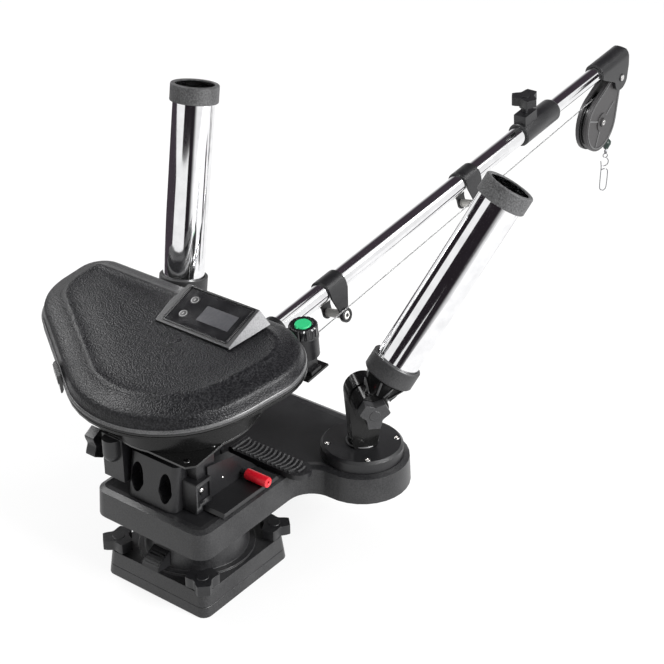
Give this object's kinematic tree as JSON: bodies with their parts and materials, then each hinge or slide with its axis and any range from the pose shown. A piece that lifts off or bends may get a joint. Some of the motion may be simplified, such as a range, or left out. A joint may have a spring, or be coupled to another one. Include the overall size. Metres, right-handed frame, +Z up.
{
  "type": "electric downrigger",
  "caption": "Electric downrigger on a swivelling deck base with a covered reel, telescoping boom, hanging pulley and tilting rod holder tubes.",
  "frame": {"origin": "centre of the deck plate's underside", "axes": "+X along the boom in plan, +Y to the left of the boom, +Z up from the deck"},
  "size_m": [1.0935, 0.5191, 0.5029],
  "materials": {
    "black_plastic": "satin moulded black",
    "grey_plastic": "fine-grained charcoal",
    "cover_plastic": "pebbled black",
    "gloss_black": "smooth black",
    "tube_chrome": "polished stainless tube",
    "plate_steel": "stainless sheet and fixings",
    "cable_steel": "stranded wire",
    "rubber": "matt black",
    "red_plastic": "signal red",
    "green_plastic": "green",
    "nylon": "natural nylon",
    "screen": "clear black panel"
  },
  "bodies": {
    "base": {"deck_plate": "grey_plastic", "swivel_base": "grey_plastic", "swivel_bolt": "plate_steel"},
    "swivel_latch_body": {"swivel_latch": "black_plastic"},
    "turret": {"rod_holder_plate": "grey_plastic", "slide_bracket": "black_plastic", "main_frame": "black_plastic", "frame_plate": "plate_steel", "reel_tray": "black_plastic", "cover_gasket": "rubber", "reel_cover": "cover_plastic", "display_bezel": "black_plastic", "display_screen": "screen", "drive_motor": "plate_steel", "drive_belt": "rubber", "boom_socket": "black_plastic", "lower_boom_tube": "tube_chrome", "cable_guide_1": "black_plastic", "guide_bush_1": "nylon", "cable_guide_2": "black_plastic", "guide_bush_2": "nylon", "boom_collar": "black_plastic", "switch_body": "black_plastic", "cable_run": "cable_steel", "right_holder_flange": "black_plastic", "left_holder_flange": "black_plastic"},
    "release_lever_body": {"release_lever": "black_plastic"},
    "lock_pin_body": {"lock_pin": "red_plastic"},
    "brake_knob_body": {"brake_knob": "black_plastic"},
    "cover_clip_body": {"cover_clip": "gloss_black"},
    "button_up_body": {"button_up": "grey_plastic"},
    "button_down_body": {"button_down": "grey_plastic"},
    "spool_body": {"cable_spool": "black_plastic", "wound_cable": "cable_steel", "spool_sheave": "nylon"},
    "motor_sheave_body": {"motor_sheave": "plate_steel"},
    "switch_knob_body": {"switch_knob": "gloss_black", "switch_cap": "green_plastic"},
    "boom_extension": {"upper_boom_tube": "tube_chrome", "boom_head": "black_plastic"},
    "collar_knob_body": {"collar_knob": "black_plastic"},
    "pulley_body": {"pulley_housing": "gloss_black"},
    "wheel_body": {"pulley_wheel": "gloss_black"},
    "line_body": {"cable_drop": "cable_steel", "stop_bead": "rubber"},
    "snap_body": {"swivel_snap": "plate_steel"},
    "deck_knob_1_body": {"deck_knob_1": "black_plastic"},
    "deck_knob_2_body": {"deck_knob_2": "black_plastic"},
    "deck_knob_3_body": {"deck_knob_3": "black_plastic"},
    "deck_knob_4_body": {"deck_knob_4": "black_plastic"},
    "right_post_body": {"right_holder_post": "gloss_black"},
    "right_cradle_body": {"right_holder_cradle": "gloss_black", "right_holder_tube": "tube_chrome", "right_holder_ring": "rubber"},
    "right_knob_body": {"right_holder_knob": "black_plastic"},
    "left_post_body": {"left_holder_post": "gloss_black"},
    "left_cradle_body": {"left_holder_cradle": "gloss_black", "left_holder_tube": "tube_chrome", "left_holder_ring": "rubber"},
    "left_knob_body": {"left_holder_knob": "black_plastic"}
  },
  "joints": [
    {"name": "deck_knob_1_turn", "type": "hinge", "parent": "base", "child": "deck_knob_1_body", "pos_m": [-0.064, -0.064, 0.04], "axis": [0, 0, 1], "continuous": true},
    {"name": "deck_knob_2_turn", "type": "hinge", "parent": "base", "child": "deck_knob_2_body", "pos_m": [0.064, -0.064, 0.04], "axis": [0, 0, 1], "continuous": true},
    {"name": "deck_knob_3_turn", "type": "hinge", "parent": "base", "child": "deck_knob_3_body", "pos_m": [0.064, 0.064, 0.04], "axis": [0, 0, 1], "continuous": true},
    {"name": "deck_knob_4_turn", "type": "hinge", "parent": "base", "child": "deck_knob_4_body", "pos_m": [-0.064, 0.064, 0.04], "axis": [0, 0, 1], "continuous": true},
    {"name": "swivel_latch_press", "type": "slide", "parent": "base", "child": "swivel_latch_body", "axis": [1, 0, 0], "range_m": [0, 0.0035], "stiffness_N_per_m": 800},
    {"name": "swivel_turn", "type": "hinge", "parent": "base", "child": "turret", "pos_m": [0, 0, 0.085], "axis": [0, 0, 1], "continuous": true},
    {"name": "release_lever_lift", "type": "hinge", "parent": "turret", "child": "release_lever_body", "pos_m": [0.079, -0.002, 0.1261], "axis": [-1, 0, 0], "range_deg": [0, 6], "stiffness_Nm_per_rad": 2},
    {"name": "lock_pin_pull", "type": "slide", "parent": "turret", "child": "lock_pin_body", "axis": [0, -1, 0], "range_m": [0, 0.009], "stiffness_N_per_m": 600},
    {"name": "brake_knob_turn", "type": "hinge", "parent": "turret", "child": "brake_knob_body", "pos_m": [-0.05, 0.0723, 0.16], "axis": [0, 1, 0], "continuous": true},
    {"name": "cover_clip_swing", "type": "hinge", "parent": "turret", "child": "cover_clip_body", "pos_m": [-0.07141, 0.12758, 0.23364], "axis": [-0.5634, -0.8233, -0.0682], "range_deg": [0, 40]},
    {"name": "button_up_press", "type": "slide", "parent": "turret", "child": "button_up_body", "axis": [0.3592, 0, -0.9333], "range_m": [0, 0.0006], "stiffness_N_per_m": 900},
    {"name": "button_down_press", "type": "slide", "parent": "turret", "child": "button_down_body", "axis": [0.3592, 0, -0.9333], "range_m": [0, 0.0006], "stiffness_N_per_m": 900},
    {"name": "spool_spin", "type": "hinge", "parent": "turret", "child": "spool_body", "pos_m": [0.01583, 0.024, 0.22304], "axis": [-0.1201, 0, 0.9928], "continuous": true},
    {"name": "motor_sheave_spin", "type": "hinge", "parent": "turret", "child": "motor_sheave_body", "pos_m": [0.05477, 0.15019, 0.26905], "axis": [-0.1201, 0, 0.9928], "continuous": true},
    {"name": "switch_turn", "type": "hinge", "parent": "turret", "child": "switch_knob_body", "pos_m": [0.13294, -0.057, 0.27076], "axis": [-0.1201, 0, 0.9928], "range_deg": [-45, 45]},
    {"name": "boom_extend", "type": "slide", "parent": "turret", "child": "boom_extension", "axis": [0.9928, 0, 0.1201], "range_m": [0, 0.35]},
    {"name": "collar_knob_turn", "type": "hinge", "parent": "turret", "child": "collar_knob_body", "pos_m": [0.70414, 0, 0.35015], "axis": [-0.1201, 0, 0.9928], "continuous": true},
    {"name": "pulley_swing", "type": "hinge", "parent": "boom_extension", "child": "pulley_body", "pos_m": [0.95711, 0, 0.31902], "axis": [0, 1, 0], "range_deg": [-34, 0]},
    {"name": "pulley_wheel_spin", "type": "hinge", "parent": "pulley_body", "child": "wheel_body", "pos_m": [0.917, 0, 0.26007], "axis": [0, 1, 0], "continuous": true},
    {"name": "line_hang", "type": "hinge", "parent": "pulley_body", "child": "line_body", "pos_m": [0.917, 0, 0.26007], "axis": [0, 1, 0], "range_deg": [0, 34]},
    {"name": "snap_swivel", "type": "hinge", "parent": "line_body", "child": "snap_body", "pos_m": [0.95676, 0, 0.20147], "axis": [0, 0, 1], "continuous": true},
    {"name": "right_holder_yaw", "type": "hinge", "parent": "turret", "child": "right_post_body", "pos_m": [0.1603, -0.1206, 0.1365], "axis": [0, 0, 1], "range_deg": [-60, 40]},
    {"name": "right_holder_tilt", "type": "hinge", "parent": "right_post_body", "child": "right_cradle_body", "pos_m": [0.1603, -0.1206, 0.205], "axis": [0.6428, 0.766, 0], "range_deg": [-41, 54]},
    {"name": "right_holder_knob_turn", "type": "hinge", "parent": "right_post_body", "child": "right_knob_body", "pos_m": [0.1603, -0.1206, 0.205], "axis": [0.6428, 0.766, 0], "continuous": true},
    {"name": "left_holder_yaw", "type": "hinge", "parent": "turret", "child": "left_post_body", "pos_m": [0.1603, 0.1206, 0.1365], "axis": [0, 0, 1], "range_deg": [-120, 25]},
    {"name": "left_holder_tilt", "type": "hinge", "parent": "left_post_body", "child": "left_cradle_body", "pos_m": [0.1603, 0.1206, 0.205], "axis": [-0.1736, 0.9848, 0], "range_deg": [-16, 74]},
    {"name": "left_holder_knob_turn", "type": "hinge", "parent": "left_post_body", "child": "left_knob_body", "pos_m": [0.1603, 0.1206, 0.205], "axis": [-0.1736, 0.9848, 0], "continuous": true}
  ],
  "couplings": [
    {"joint": "motor_sheave_spin", "follows": "spool_spin", "ratio": 5.3333},
    {"joint": "pulley_wheel_spin", "follows": "spool_spin", "ratio": 1.6365}
  ]
}
